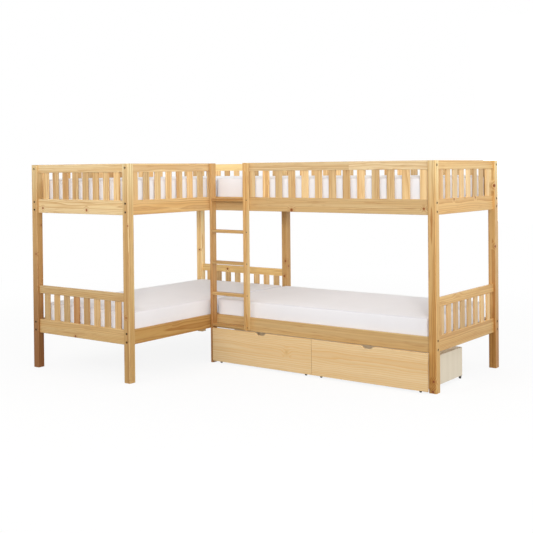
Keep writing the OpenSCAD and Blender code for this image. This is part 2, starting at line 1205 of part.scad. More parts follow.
wheels_rear_left();
wheels_front_right();
wheels_rear_right();
frame_bolts();
barrel_nuts();
ladder_screws();
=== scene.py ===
import math

import bmesh
import bpy
from mathutils import Matrix, Vector
from mathutils.bvhtree import BVHTree


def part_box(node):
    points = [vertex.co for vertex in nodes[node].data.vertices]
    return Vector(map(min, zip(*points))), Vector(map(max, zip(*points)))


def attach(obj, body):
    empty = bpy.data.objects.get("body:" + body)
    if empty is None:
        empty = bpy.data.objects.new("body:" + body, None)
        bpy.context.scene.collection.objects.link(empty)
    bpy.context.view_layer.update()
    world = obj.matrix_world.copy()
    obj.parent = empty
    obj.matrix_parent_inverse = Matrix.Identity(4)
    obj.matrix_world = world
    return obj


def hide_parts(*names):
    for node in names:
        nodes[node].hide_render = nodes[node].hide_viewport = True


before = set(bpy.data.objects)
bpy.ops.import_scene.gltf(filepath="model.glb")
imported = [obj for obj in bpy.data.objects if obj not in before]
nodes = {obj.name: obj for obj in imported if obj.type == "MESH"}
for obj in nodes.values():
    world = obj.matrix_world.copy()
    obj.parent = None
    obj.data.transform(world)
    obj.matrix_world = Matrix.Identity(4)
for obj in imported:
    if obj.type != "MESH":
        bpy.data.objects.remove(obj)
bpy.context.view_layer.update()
print("bed frame loaded:", len(nodes), "pieces")


class Wire:  # one socket, so that sums of sockets can be written as sums
    def __init__(self, finish, socket):
        self.finish = finish
        self.socket = socket

    def kindWith(self, other):
        kinds = {w.socket.type for w in (self, other) if isinstance(w, Wire)}
        return "RGBA" if "RGBA" in kinds else "VECTOR" if "VECTOR" in kinds else "VALUE"

    def calc(self, operation, first, second):
        kind = self.kindWith(first if second is self else second)
        if kind == "RGBA":
            settings = {"data_type": "RGBA", "blend_type": operation}
            pair = {6: self.finish.colour(first), 7: self.finish.colour(second)}
            return self.finish.node("Mix", settings, {0: 1.0, **pair}, 2)
        if kind == "VECTOR":
            pair = {0: self.finish.triple(first), 1: self.finish.triple(second)}
            return self.finish.node("VectorMath", {"operation": operation}, pair)
        return self.finish.node("Math", {"operation": operation}, {0: first, 1: second})

    def __add__(self, other):
        return self.calc("ADD", self, other)

    def __radd__(self, other):
        return self.calc("ADD", other, self)

    def __sub__(self, other):
        return self.calc("SUBTRACT", self, other)

    def __rsub__(self, other):
        return self.calc("SUBTRACT", other, self)

    def __mul__(self, other):
        return self.calc("MULTIPLY", self, other)

    def __rmul__(self, other):
        return self.calc("MULTIPLY", other, self)

    def __truediv__(self, other):
        return self.calc("DIVIDE", self, other)

    def __rtruediv__(self, other):
        return self.calc("DIVIDE", other, self)

    def __pow__(self, other):
        return self.calc("POWER", self, other)

    def floor(self):
        kind = "VectorMath" if self.socket.type == "VECTOR" else "Math"
        return self.finish.node(kind, {"operation": "FLOOR"}, {0: self})

    def split(self):
        kind = "SeparateColor" if self.socket.type == "RGBA" else "SeparateXYZ"
        return [self.finish.node(kind, {}, {0: self}, i) for i in range(3)]

    def step(self, low, high):  # 0 below low, 1 above high, smooth between
        settings = {"interpolation_type": "SMOOTHSTEP", "clamp": True}
        return self.finish.node("MapRange", settings, {0: self, 1: low, 2: high, 3: 0.0, 4: 1.0})

    def blend(self, low, high):  # from colour low to colour high as this goes from 0 to 1
        pair = {6: self.finish.colour(low), 7: self.finish.colour(high)}
        return self.finish.node("Mix", {"data_type": "RGBA"}, {0: self, **pair}, 2)


class Finish:  # one material, or the world
    def __init__(self, name, owner=None):
        self.material = owner or bpy.data.materials.new(name)
        self.material.use_nodes = True
        self.tree = self.material.node_tree
        self.tree.nodes.clear()

    def node(self, kind, settings=None, sockets=None, out=0):
        made = self.tree.nodes.new("ShaderNode" + kind)
        for key, value in (settings or {}).items():
            setattr(made, key, value)
        for key, value in (sockets or {}).items():
            if isinstance(value, Wire):
                self.tree.links.new(value.socket, made.inputs[key])
            else:
                made.inputs[key].default_value = value
        return Wire(self, made.outputs[out]) if made.outputs else None

    def colour(self, value):
        if isinstance(value, Wire):
            return value
        if isinstance(value, (int, float)):
            return (value, value, value, 1.0)
        return (*value[:3], 1.0)

    def triple(self, value):
        if isinstance(value, (int, float)):
            return (value, value, value)
        return value

    def place(self):
        return self.node("TexCoord", out="Object")

    def join(self, x, y, z):
        return self.node("CombineXYZ", {}, {0: x, 1: y, 2: z})

    def noise(self, vector, scale, detail=2.0, roughness=0.5):
        sockets = {"Vector": vector, "Scale": scale, "Detail": detail, "Roughness": roughness}
        return self.node("TexNoise", {"noise_dimensions": "3D"}, sockets)

    def bump(self, height, strength, distance):
        return self.node("Bump", {}, {"Strength": strength, "Distance": distance, "Height": height})

    def surface(self, sockets):
        shader = self.node("BsdfPrincipled", {}, sockets)
        self.node("OutputMaterial", {}, {"Surface": shader})
        return self.material


def srgb(r, g, b):  # screen colour, 0 to 255, to linear
    def one(c):
        c = c / 255
        return c / 12.92 if c <= 0.04045 else ((c + 0.055) / 1.055) ** 2.4
    return (one(r), one(g), one(b))


def wear(name, material):
    target = nodes[name].data.materials
    target.clear()
    target.append(material)


pineLook = {
    "pale": srgb(240, 213, 163),
    "dark": srgb(224, 182, 121),
    "late": srgb(184, 126, 64),
    "heart": srgb(208, 152, 88),
    "knot": srgb(128, 66, 30),
    "knotRim": srgb(176, 112, 58),
    "ringWidth": 0.0105,
    "grainDepth": 1.15,
    "tilt": 0.03,
    "wave": 1.0,
    "roughness": 0.42,
    "coat": 0.08,
    "tint": (1.0, 1.0, 1.0),
    "spread": 0.22,  # how far the boards differ in tone
    "knotShare": 0.3,
    "flecks": 0.4,
    "paintedFloorShade": (0.81, 0.79, 0.75),  # painted shade: the wood's tint at the floor, darker as if less light reached it
    "head": (1.0, 1.0, 1.0),  # and painted light: the tint at the tops of the posts, paler as if more light fell there
}


def pineFinish(name, look, grain, origin, cell, seed):
    f = Finish(name)
    place = f.place()
    cells = (place - origin) / cell
    board = cells.floor()
    local = (cells - board - 0.5) * cell
    solid = {"noise_dimensions": "3D"}
    luck = f.node("TexWhiteNoise", solid, {"Vector": board + seed}, "Color").split()
    other = f.node("TexWhiteNoise", solid, {"Vector": board + seed + 17.3}, "Color").split()
    x, y, z = local.split()
    along, wide, thick = {"x": (x, z, y), "y": (y, z, x), "z": (z, x, y)}[grain]
    start = along + luck[0] * 9.0
    bent = f.noise(f.join(start, wide * 5.0, thick * 5.0), 1.3, 2.0) - 0.5
    ripple = f.noise(f.join(start * 2.2, wide * 14.0, thick * 14.0), 1.3, 2.0) - 0.5
    # growth rings round a pith that lies outside most boards
    side = wide + along * (luck[1] - 0.5) * look["tilt"] + (other[0] - 0.5) * 0.08 + bent * 0.045
    side = side + ripple * (0.006 * look["wave"])
    deep = thick + (other[1] - 0.5) * 0.16 + bent * 0.02
    # random knots, with the rings bending round them
    spot = f.join(start * 3.2, wide * 9.0, thick * 9.0)
    nearest = {"voronoi_dimensions": "3D", "feature": "F1"}
    far = f.node("TexVoronoi", nearest, {"Vector": spot, "Scale": 1.0}, "Distance")
    pick = f.node("TexVoronoi", nearest, {"Vector": spot, "Scale": 1.0}, "Color").split()[0]
    chosen = pick.step(1.0 - look["knotShare"], 1.02 - look["knotShare"])
    knot = (1.0 - far.step(0.07, 0.1)) * chosen
    core = (1.0 - far.step(0.035, 0.07)) * chosen
    halo = (1.0 - far.step(0.06, 0.4)) * chosen
    for spotPlace, size in look.get("knots", ()):
        gap = f.node("VectorMath", {"operation": "DISTANCE"}, {0: place, 1: spotPlace}, "Value")
        knot = knot + (1.0 - gap.step(size * 0.9, size * 1.2))
        core = core + (1.0 - gap.step(size * 0.45, size * 0.85))
        halo = halo + (1.0 - gap.step(size * 0.8, size * 4.0))
    radius = (side * side + deep * deep) ** 0.5 + halo * 0.014
    years = radius * (1.0 / look["ringWidth"]) + bent * 0.8
    ring = f.node("Math", {"operation": "FRACT"}, {0: years})
    late = (ring ** 2.2) * (1.0 - ring.step(0.93, 1.0))
    good = f.noise(f.join(years.floor() * 0.37, luck[2] * 50.0, start * 0.3), 1.0, 1.0)  # some years darker
    band = f.noise(f.join(start * 0.6, wide * 24.0, thick * 24.0), 1.0, 3.0, 0.6)
    fibre = f.noise(f.join(start * 9.0, wide * 260.0, thick * 260.0), 1.0, 2.0, 0.7)
    wood = (band.step(0.28, 0.72) * 0.6 + good.step(0.35, 0.7) * 0.4).blend(look["pale"], look["dark"])
    heart = (1.0 - radius.step(0.02, 0.055)) * other[2].step(0.55, 0.8)
    wood = (heart * 0.5).blend(wood, look["heart"])
    lines = late * (0.35 + good * 0.55) * look["grainDepth"]
    wood = (lines + halo * 0.22).blend(wood, look["late"])
    tone = (1.0 + (luck[2] - 0.5) * look["spread"]) * (1.0 + (fibre - 0.5) * 0.22)
    flecks = f.noise(f.join(start * 5.0, wide * 62.0, thick * 62.0), 1.0, 2.0, 0.6).step(0.56, 0.74)
    wood = (flecks * look["flecks"]).blend(wood, look["late"])
    # painted light: the wood is darker towards the floor and paler at the tops of the posts, standing for
    # the fall of light with height
    paintedFloorShade = place.split()[2].step(0.0, 1.2).blend((*look["paintedFloorShade"], 1.0), (1.0, 1.0, 1.0, 1.0))
    head = place.split()[2].step(1.2, 1.65).blend((1.0, 1.0, 1.0, 1.0), (*look["head"], 1.0))
    wood = wood * (*look["tint"], 1.0) * paintedFloorShade * head * tone
    for hole in look.get("bolts", ()):  # shade in the recesses of the bolts
        gap = f.node("VectorMath", {"operation": "DISTANCE"}, {0: place, 1: hole}, "Value")
        wood = (1.0 - gap.step(0.0082, 0.0094)).blend(wood, wood * 0.16)
    for low, high, tint in look.get("boxTonesAndPaintedLight", ()):  # a box with its own tone, used both for painted light, as a paler side face on a post, and for a board's own darker tone
        inside = 1.0
        for near, lowEnd, highEnd in zip(place.split(), low, high):
            inside = near.step(lowEnd, lowEnd + 0.003) * (1.0 - near.step(highEnd - 0.003, highEnd)) * inside
        wood = inside.blend(wood, wood * (*tint, 1.0))
    wood = knot.blend(wood, look["knotRim"])
    wood = core.blend(wood, look["knot"])
    # sawn ends take in more lacquer and look darker
    facing = f.node("NewGeometry", {}, {}, "Normal").split()["xyz".index(grain)]
    end = f.node("Math", {"operation": "ABSOLUTE"}, {0: facing}).step(0.7, 0.95)
    wood = (end * 0.35).blend(wood, wood * 0.62)
    rough = look["roughness"] + (band - 0.5) * 0.12 + end * 0.15
    height = late * 0.5 + fibre * 0.7 - knot * 0.5
    return f.surface({
        "Base Color": wood,
        "Roughness": rough,
        "Coat Weight": look["coat"],
        "Coat Roughness": 0.3,
        "Specular IOR Level": 0.32,
        "Normal": f.bump(height, 0.25, 0.0004),
    })


def boardCells(name, **split):  # cells that hold one board each: split is axis=(start, pitch)
    low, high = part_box(name)
    middle = (low + high) / 2
    origin, cell = [], []
    for i, axis in enumerate("xyz"):
        begin, pitch = split.get(axis, (middle[i] - 5.0, 10.0))
        origin.append(begin)
        cell.append(pitch)
    return tuple(origin), tuple(cell)


def firstSlat(name, axis, slat, pitch):  # start of the cell round the first slat of a row
    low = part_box(name)[0]
    return (low["xyz".index(axis)] - (pitch - slat) / 2, pitch)


endPitch = 0.11222  # from one slat to the next, on the end panels
sidePitch = 0.12227  # and on the guards
frontPitch = 0.1222
frontStart = -0.1364  # where the cell of the first front slat starts
leftBedPitch = 0.1505
rightBedPitch = 0.15017
uprightSlat = 0.06  # widths of the upright slats and of those under the mattresses
bedSlat = 0.068
rowSplit = (0.0, 0.9)  # keeps the lower and the upper row of slats apart
railSplit = (0.2, 0.32)  # the end rails, one cell for each
rungSplit = (0.182, 0.25)  # and the rungs
# painted light: the paler tint given to the tops of the posts
paintedPaleTop = (1.24, 1.5, 1.9)


def boltsAt(x, y):
    return [(x, y, z) for z in (0.298, 0.36, 1.246, 1.308, 1.5685)]


pinePieces = {
    "post_left_front_outer": {
        "grain": "z", "tint": (0.69, 0.58, 0.43), "paintedFloorShade": (0.48, 0.32, 0.2), "head": paintedPaleTop,
        "bolts": boltsAt(-1.488, -1.015),
        "knots": [((-1.476, -1.015, 0.897), 0.008), ((-1.459, -0.972, 1.124), 0.007)]},
    "post_left_front_inner": {
        "grain": "z", "tint": (0.86, 0.80, 0.70), "paintedFloorShade": (0.84, 0.78, 0.68), "head": paintedPaleTop,
        "bolts": boltsAt(-0.48, -1.015),
        # painted light: the box makes this post's +X face paler, as if more light fell on that side
        "boxTonesAndPaintedLight": [((-0.455, -1.1, -0.1), (-0.44, -0.9, 1.7), (1.13, 1.2, 1.25))],
        "knots": [((-0.457, -1.015, 1.147), 0.006), ((-0.484, -1.015, 0.477), 0.007)]},
    "post_left_back_outer": {
        # painted light: a tint above 1 brightens this post, which the lamps leave in shade
        "grain": "z", "tint": (1.3, 1.36, 1.36),
        "knots": [((-1.481, 0.957, 0.785), 0.008)]},
    "post_corner_back": {
        "grain": "z", "tint": (0.90, 0.78, 0.60), "head": paintedPaleTop,
        "knots": [((-0.468, 0.957, 0.726), 0.01), ((-0.481, 0.957, 0.591), 0.01),
                  ((-0.451, 0.982, 0.68), 0.009)]},
    "post_right_front": {
        "grain": "z", "tint": (0.79, 0.70, 0.56), "paintedFloorShade": (0.83, 0.74, 0.56), "head": paintedPaleTop,
        "grainDepth": 1.5, "flecks": 0.6,
        "bolts": boltsAt(1.517, -0.022),
        # painted light: the box makes this post's +X face paler, as if more light fell on that side
        "boxTonesAndPaintedLight": [((1.513, -0.1, -0.1), (1.53, 0.1, 1.7), (1.2, 1.28, 1.3))],
        "knots": [((1.496, -0.051, 0.083), 0.01), ((1.49, -0.051, 0.012), 0.01)]},
    "post_right_back": {
        "grain": "z", "tint": (0.91, 0.84, 0.71), "paintedFloorShade": (0.66, 0.49, 0.30), "head": (1.34, 1.7, 2.2),
        "bolts": boltsAt(1.517, 0.986),
        "knots": [((1.511, 0.957, 1.406), 0.012), ((1.517, 0.962, 0.939), 0.01),
                  ((1.517, 1.004, 1.256), 0.008)]},
    # painted shade: this stile's darker foot stands for the shade low down beside the drawers
    "ladder_left_stile": {"grain": "z", "tint": (0.79, 0.68, 0.53), "paintedFloorShade": (0.62, 0.48, 0.36)},
    "ladder_right_stile": {"grain": "z", "tint": (0.95, 0.97, 0.92)},
    "ladder_rungs": {"grain": "x", "split": {"z": rungSplit}, "tint": (0.80, 0.72, 0.59)},
    "end_rails_left_front": {
        "grain": "x", "split": {"z": railSplit}, "tint": (1.01, 1.05, 1.09), "paintedFloorShade": (0.77, 0.68, 0.53),
        "knots": [((-1.407, -0.997, 1.26), 0.009), ((-0.908, -0.997, 1.253), 0.01),
                  ((-1.048, -0.997, 0.285), 0.01)]},
    "end_rails_left_back": {"grain": "x", "split": {"z": railSplit}, "tint": (1.2, 1.26, 1.14),
        "knots": [((-1.152, 0.975, 0.618), 0.01)]},
    "end_rails_right": {
        "grain": "y", "split": {"z": railSplit}, "tint": (1.02, 0.95, 0.77), "paintedFloorShade": (0.8, 0.74, 0.64),
        "knots": [((1.499, 0.28, 1.325), 0.009), ((1.499, 0.64, 1.328), 0.009)]},
    "end_slats_left_front": {
        "grain": "z", "row": ("x", endPitch), "split": {"z": rowSplit}, "spread": 0.3,
        "tint": (0.94, 0.9, 0.84),
        "boxTonesAndPaintedLight": [((-1.08, -2.0, 0.2), (-1.0, 0.0, 0.8), (0.8, 0.62, 0.5))]},
    "end_slats_left_back": {"grain": "z", "row": ("x", endPitch), "split": {"z": rowSplit}, "spread": 0.42},
    "end_slats_right": {"grain": "z", "row": ("y", endPitch), "split": {"z": rowSplit}, "spread": 0.42},
    "guard_slats_left_outer": {"grain": "z", "row": ("y", sidePitch), "spread": 0.42},
    "guard_slats_left_inner": {"grain": "z", "row": ("y", sidePitch), "spread": 0.42},
    "guard_slats_right_back": {"grain": "z", "row": ("x", sidePitch), "spread": 0.42},
    "guard_slats_right_front": {"grain": "z", "split": {"x": (frontStart, frontPitch)}, "spread": 0.36,
        "knots": [((0.094, -0.028, 1.446), 0.007)]},
    "guard_rail_left_outer": {"grain": "y"},
    "guard_rail_left_inner": {"grain": "y"},
    "guard_rail_right_back": {"grain": "x"},
    "guard_rail_right_front": {"grain": "x", "tint": (0.89, 0.94, 1.04), "split": {"x": (0.817, 3.0)}},
    "upper_bed_rail_left_outer": {"grain": "y"},
    "upper_bed_rail_left_inner": {"grain": "y", "tint": (0.93, 0.89, 0.81)},
    "upper_bed_rail_right_back": {"grain": "x"},
    "upper_bed_rail_right_front": {"grain": "x", "tint": (0.84, 0.81, 0.75),
        "knots": [((0.304, -0.033, 1.237), 0.013), ((1.421, -0.033, 1.266), 0.009)]},
    "lower_bed_rail_left_outer": {"grain": "y"},
    "lower_bed_rail_left_inner": {"grain": "y", "tint": (0.84, 0.68, 0.44)},
    "lower_bed_rail_right_back": {"grain": "x"},
    "lower_bed_rail_right_front": {"grain": "x", "tint": (0.84, 0.82, 0.76), "grainDepth": 0.55},
    "bed_ledgers": {"grain": "y"},
    "bed_slats_upper_left": {"grain": "x", "row": ("y", leftBedPitch, bedSlat)},
    "bed_slats_lower_left": {"grain": "x", "row": ("y", leftBedPitch, bedSlat)},
    "bed_slats_upper_right": {"grain": "y", "row": ("x", rightBedPitch, bedSlat)},
    "bed_slats_lower_right": {"grain": "y", "row": ("x", rightBedPitch, bedSlat)},
    "rung_dowels": {"grain": "x"},
}

for count, (name, piece) in enumerate(pinePieces.items()):
    split = dict(piece.get("split", {}))
    if "row" in piece:
        axis, pitch, slat = (*piece["row"], uprightSlat)[:3]
        split[axis] = firstSlat(name, axis, slat, pitch)
    origin, cell = boardCells(name, **split)
    seed = (count * 3.7, count * 1.3, count * 7.1)
    wear(name, pineFinish("pine_" + name, {**pineLook, **piece}, piece["grain"], origin, cell, seed))
print("pine finished:", len(pinePieces), "pieces")


drawerPine = {
    **pineLook,
    "pale": srgb(240, 212, 166),
    "dark": srgb(228, 192, 138),
    "late": srgb(226, 174, 104),
    "heart": srgb(228, 190, 138),
    "knot": srgb(220, 176, 118),
    "knotRim": srgb(226, 186, 130),
    "ringWidth": 0.015,
    "grainDepth": 1.2,
    "tilt": 0.006,
    "wave": 5.0,
    "roughness": 0.5,
    "coat": 0.08,
    "spread": 0.0,
    "knotShare": 0.0,
    "flecks": 0.15,
    "paintedFloorShade": (1.0, 1.0, 1.0),
}
for count, side in enumerate(("left", "right")):
    name = "drawer_front_" + side
    origin, cell = boardCells(name)
    look = {**drawerPine, "knots": [((0.288, -0.094, 0.161), 0.015)]}
    wear(name, pineFinish("drawer_pine_" + side, look, "x", origin, cell, (40.0 + count * 5, 3.0, 8.0)))

boxLook = {
    "face": srgb(230, 218, 196),
    "streak": srgb(218, 205, 181),
    "ply": srgb(190, 160, 120),
    "layer": 0.0032,  # from one dark ply to the next
}


def plyFinish(name, look, grain):  # pale veneer, with its layers showing on the edges
    f = Finish(name)
    place = f.place()
    x, y, z = place.split()
    along, wide, thick = {"x": (x, z, y), "y": (y, z, x), "z": (z, y, x)}[grain]
    streak = f.noise(f.join(along * 0.7, wide * 22.0, thick * 22.0), 1.0, 3.0, 0.6)
    fibre = f.noise(f.join(along * 12.0, wide * 300.0, thick * 300.0), 1.0, 2.0, 0.6)
    face = (streak.step(0.3, 0.75) * 0.5).blend(look["face"], look["streak"])
    face = face * (1.0 + (fibre - 0.5) * 0.05)
    normal = f.node("NewGeometry", {}, {}, "Normal").split()
    top = f.node("Math", {"operation": "ABSOLUTE"}, {0: normal[2]}).step(0.7, 0.95)
    layers = f.node("Math", {"operation": "SINE"}, {0: (x + y) * (math.tau / look["layer"])}).step(-0.2, 0.6)
    edge = (layers * 0.6).blend(look["face"], look["ply"])
    colour = top.blend(face, edge)
    return f.surface({
        "Base Color": colour,
        "Roughness": 0.55 + (streak - 0.5) * 0.1,
        "Specular IOR Level": 0.35,
        "Normal": f.bump(fibre + streak * 0.5, 0.15, 0.0003),
    })


for side in ("left", "right"):
    wear("drawer_sides_" + side, plyFinish("drawer_side_board_" + side, boxLook, "z"))
    wear("drawer_back_" + side, plyFinish("drawer_back_board_" + side, boxLook, "x"))
    wear("drawer_bottom_" + side, plyFinish("drawer_bottom_board_" + side, boxLook, "x"))
print("drawers finished")


metalLook = {
    "frame_bolts": {"colour": srgb(14, 11, 9), "roughness": 0.85, "metal": 0.0},
    "ladder_screws": {"colour": srgb(36, 24, 18), "roughness": 0.8, "metal": 0.0},
    "barrel_nuts": {"colour": srgb(176, 176, 178), "roughness": 0.38},
    "caster_brackets_left": {"colour": srgb(118, 112, 104), "roughness": 0.4},
    "caster_brackets_right": {"colour": srgb(118, 112, 104), "roughness": 0.4},
    "caster_axles_left": {"colour": srgb(168, 168, 168), "roughness": 0.32},
    "caster_axles_right": {"colour": srgb(168, 168, 168), "roughness": 0.32},
}


def metalFinish(name, look):
    f = Finish(name)
    place = f.place()
    grime = f.noise(place, 160.0, 3.0)
    brush = f.noise(place * (900.0, 120.0, 120.0), 1.0, 1.0)
    base = look["colour"]
    colour = (grime.step(0.35, 0.75) * 0.5).blend(base, tuple(c * 0.62 for c in base))
    return f.surface({
        "Base Color": colour,
        "Metallic": look.get("metal", 0.9),
        "Roughness": look["roughness"] + (grime - 0.5) * 0.2,
        "Normal": f.bump(brush, 0.1, 0.0001),
    })


for name, look in metalLook.items():
    wear(name, metalFinish("metal_" + name, look))

wheelLook = {"colour": srgb(58, 54, 52), "worn": srgb(90, 86, 82), "roughness": 0.55}


def wheelFinish(name, look):
    f = Finish(name)
    place = f.place()
    dust = f.noise(place, 220.0, 3.0)
    colour = (dust.step(0.4, 0.8) * 0.6).blend(look["colour"], look["worn"])
    return f.surface({
        "Base Color": colour,
        "Roughness": look["roughness"] + (dust - 0.5) * 0.2,
        "Normal": f.bump(dust, 0.1, 0.0002),
    })


for end in ("front", "rear"):
    for side in ("left", "right"):
        name = f"wheels_{end}_{side}"
        wear(name, wheelFinish("plastic_" + name, wheelLook))
print("metal and wheels finished")


mattressLook = {
    "size": (1.905, 0.965, 0.180),
    "corner": 0.016,  # plan radius
    "edge": 0.010,  # radius of the top and bottom edges
    "shrink": 0.004,  # the cover swells by about this much
    "voxel": 0.011,
    "pressure": 4.0,
    "cap": (0.006, 0.006, 0.009),  # most that the cover may swell
    "piping": 0.0028,
    "seam": 0.30,  # how far round the edge the piping sits, as a share of the edge radius
}


def outline(length, width, radius, steps=8):  # rounded rectangle, anticlockwise
    points = []
    for cx, cy, turn in ((1, 1, 0), (-1, 1, 90), (-1, -1, 180), (1, -1, 270)):
        for i in range(steps + 1):
            a = math.radians(turn + 90 * i / steps)
            points.append(Vector((
                cx * (length / 2 - radius) + radius * math.cos(a),
                cy * (width / 2 - radius) + radius * math.sin(a),
                0.0,
            )))
    return points


def meshObject(name, mesh):
    made = bpy.data.objects.new(name, mesh)
    bpy.context.scene.collection.objects.link(made)
    return made


def finishedMesh(obj):
    bpy.context.view_layer.update()
    graph = bpy.context.evaluated_depsgraph_get()
    return bpy.data.meshes.new_from_object(obj.evaluated_get(graph), depsgraph=graph)


def mattressShell(look):  # closed block with rounded corners and edges
    length, width, height = look["size"]
    length, width = length - 2 * look["shrink"], width - 2 * look["shrink"]
    low, high = 0.0, height - look["shrink"]
    rings = []
    for i in range(5):  # lower edge, from the bottom face out to the side
        a = math.radians(90 * i / 4)
        rings.append((look["edge"] * (1 - math.sin(a)), low + look["edge"] * (1 - math.cos(a))))
    for i in range(1, 6):  # up the side
        rings.append((0.0, low + look["edge"] + (high - low - 2 * look["edge"]) * i / 6))
    for i in range(5):
        a = math.radians(90 * i / 4)
        rings.append((look["edge"] * (1 - math.cos(a)), high - look["edge"] * (1 - math.sin(a))))
    shell = bmesh.new()
    loops = []
    for inset, z in rings:
        path = outline(length - 2 * inset, width - 2 * inset, look["corner"] - inset * 0.5)
        loops.append([shell.verts.new((p.x, p.y, z)) for p in path])
    for lower, upper in zip(loops, loops[1:]):
        for i in range(len(lower)):
            j = (i + 1) % len(lower)
            shell.faces.new((lower[i], lower[j], upper[j], upper[i]))
    shell.faces.new(list(reversed(loops[0])))
    shell.faces.new(loops[-1])
    mesh = bpy.data.meshes.new("mattress_shell")
    shell.to_mesh(mesh)
    shell.free()
    return mesh


def puff(shell, look):  # evens the mesh, then swells the cover between its sewn edges
    obj = meshObject("mattress_form", shell)
    even = obj.modifiers.new("even", "REMESH")
    even.mode = "VOXEL"
    even.voxel_size = look["voxel"]
    mesh = finishedMesh(obj)
    bpy.data.objects.remove(obj)
    before = [v.co.copy() for v in mesh.vertices]
    obj = meshObject("mattress_cloth", mesh)
    top = look["size"][2] - look["shrink"]
    edge = look["edge"]
    held = obj.vertex_groups.new(name="held")
    length, width = (look["size"][i] - 2 * look["shrink"] for i in range(2))

    def inward(p):  # distance from the plan outline, roughly
        return min(length / 2 - abs(p.x), width / 2 - abs(p.y))

    for v in mesh.vertices:
        onEdge = inward(v.co) < edge * 0.8 and (v.co.z > top - edge * 0.8 or v.co.z < edge * 0.8)
        if onEdge or v.co.z < edge * 0.4:
            held.add([v.index], 1.0, "REPLACE")
    cloth = obj.modifiers.new("cover", "CLOTH")
    cloth.settings.quality = 5
    cloth.settings.mass = 0.3
    cloth.settings.tension_stiffness = 30
    cloth.settings.compression_stiffness = 30
    cloth.settings.shear_stiffness = 10
    cloth.settings.bending_stiffness = 3
    cloth.settings.use_pressure = True
    cloth.settings.uniform_pressure_force = look["pressure"]
    cloth.settings.vertex_group_mass = "held"
    cloth.settings.effector_weights.gravity = 0.0
    cloth.collision_settings.use_collision = False
    cloth.point_cache.frame_start = 1
    cloth.point_cache.frame_end = 20
    for step in range(1, 21):
        bpy.context.scene.frame_set(step)
    moved = finishedMesh(obj)
    for v, w, old in zip(mesh.vertices, moved.vertices, before):
        shift = w.co - old
        excess = max(abs(shift[i]) / look["cap"][i] for i in range(3))
        v.co = old + shift / max(1.0, excess)
    obj.modifiers.clear()
    bpy.context.scene.frame_set(1)
    smooth = obj.modifiers.new("smooth", "SUBSURF")
    smooth.levels = 1
    result = finishedMesh(obj)
    bpy.data.objects.remove(obj)
    for v in result.vertices:
        v.co.z = max(v.co.z, 0.0)
    for face in result.polygons:
        face.use_smooth = True
    return result


def pipingRing(tree, look, z, lift):  # sewn edge tape that follows the swollen cover
    length, width = (look["size"][i] - 2 * look["shrink"] for i in range(2))
    inset = look["edge"] * look["seam"]
    path = outline(length - 2 * inset, width - 2 * inset, look["corner"] - inset, 10)
    full = []
    for a, b in zip(path, path[1:] + path[:1]):
        count = max(1, int((b - a).length / 0.03))
        full += [a.lerp(b, i / count) for i in range(count)]
    ringBmesh = bmesh.new()
    loops = []
    total = len(full)
    snapped = [tree.find_nearest(Vector((p.x, p.y, z)))[0] for p in full]
    for i, centre in enumerate(snapped):
        forward = (snapped[(i + 1) % total] - snapped[i - 1]).normalized()
        outward = Vector((forward.y, -forward.x, lift)).normalized()
        second = forward.cross(outward).normalized()
        middle = centre + outward * look["piping"] * 0.35
        loops.append([
            ringBmesh.verts.new(middle + (outward * math.cos(a) + second * math.sin(a)) * look["piping"])
            for a in (math.tau * k / 8 for k in range(8))
        ])
    for i in range(total):
        a, b = loops[i], loops[(i + 1) % total]
        for k in range(8):
            ringBmesh.faces.new((a[k], a[(k + 1) % 8], b[(k + 1) % 8], b[k]))
    return ringBmesh


def pipingMesh(body, look):
    tree = BVHTree.FromPolygons([v.co for v in body.vertices], [p.vertices for p in body.polygons])
    inset = look["edge"] * look["seam"]
    both = bpy.data.meshes.new("mattress_piping")
    whole = bmesh.new()
    for z, lift in ((look["size"][2] - look["shrink"] - inset, 1.0), (inset, -1.0)):
        ring = pipingRing(tree, look, z, lift)
        part = bpy.data.meshes.new("part")
        ring.to_mesh(part)
        ring.free()
        whole.from_mesh(part)
        bpy.data.meshes.remove(part)
    bmesh.ops.recalc_face_normals(whole, faces=whole.faces)
    whole.to_mesh(both)
    whole.free()
    for face in both.polygons:
        face.use_smooth = True
    return both


clothLook = {
    "cover": srgb(240, 238, 240),
    "shade": srgb(235, 233, 235),
    "piping": srgb(232, 229, 233),
    "weave": 0.0011,
}


def clothFinish(name, look, colour):
    f = Finish(name)
    place = f.place()
    x, y, z = place.split()
    rate = math.tau / look["weave"]
    warp = f.node("Math", {"operation": "SINE"}, {0: (x + z * 0.6) * rate})
    weft = f.node("Math", {"operation": "SINE"}, {0: (y + z * 0.8) * rate})
    thread = (warp * weft) * 0.5 + 0.5
    soft = f.noise(place, 3.2, 3.0)
    crease = f.noise(place, 9.0, 2.0)
    tint = (soft.step(0.3, 0.75) * 0.5).blend(colour, look["shade"])
    tint = tint * (0.985 + thread * 0.03)
    return f.surface({
        "Base Color": tint,
        "Roughness": 0.86 + (soft - 0.5) * 0.1,
        "Sheen Weight": 0.25,
        "Sheen Roughness": 0.5,
        "Specular IOR Level": 0.2,
        "Normal": f.bump(thread * 0.25 + crease * 3.0, 0.35, 0.0012),
    })


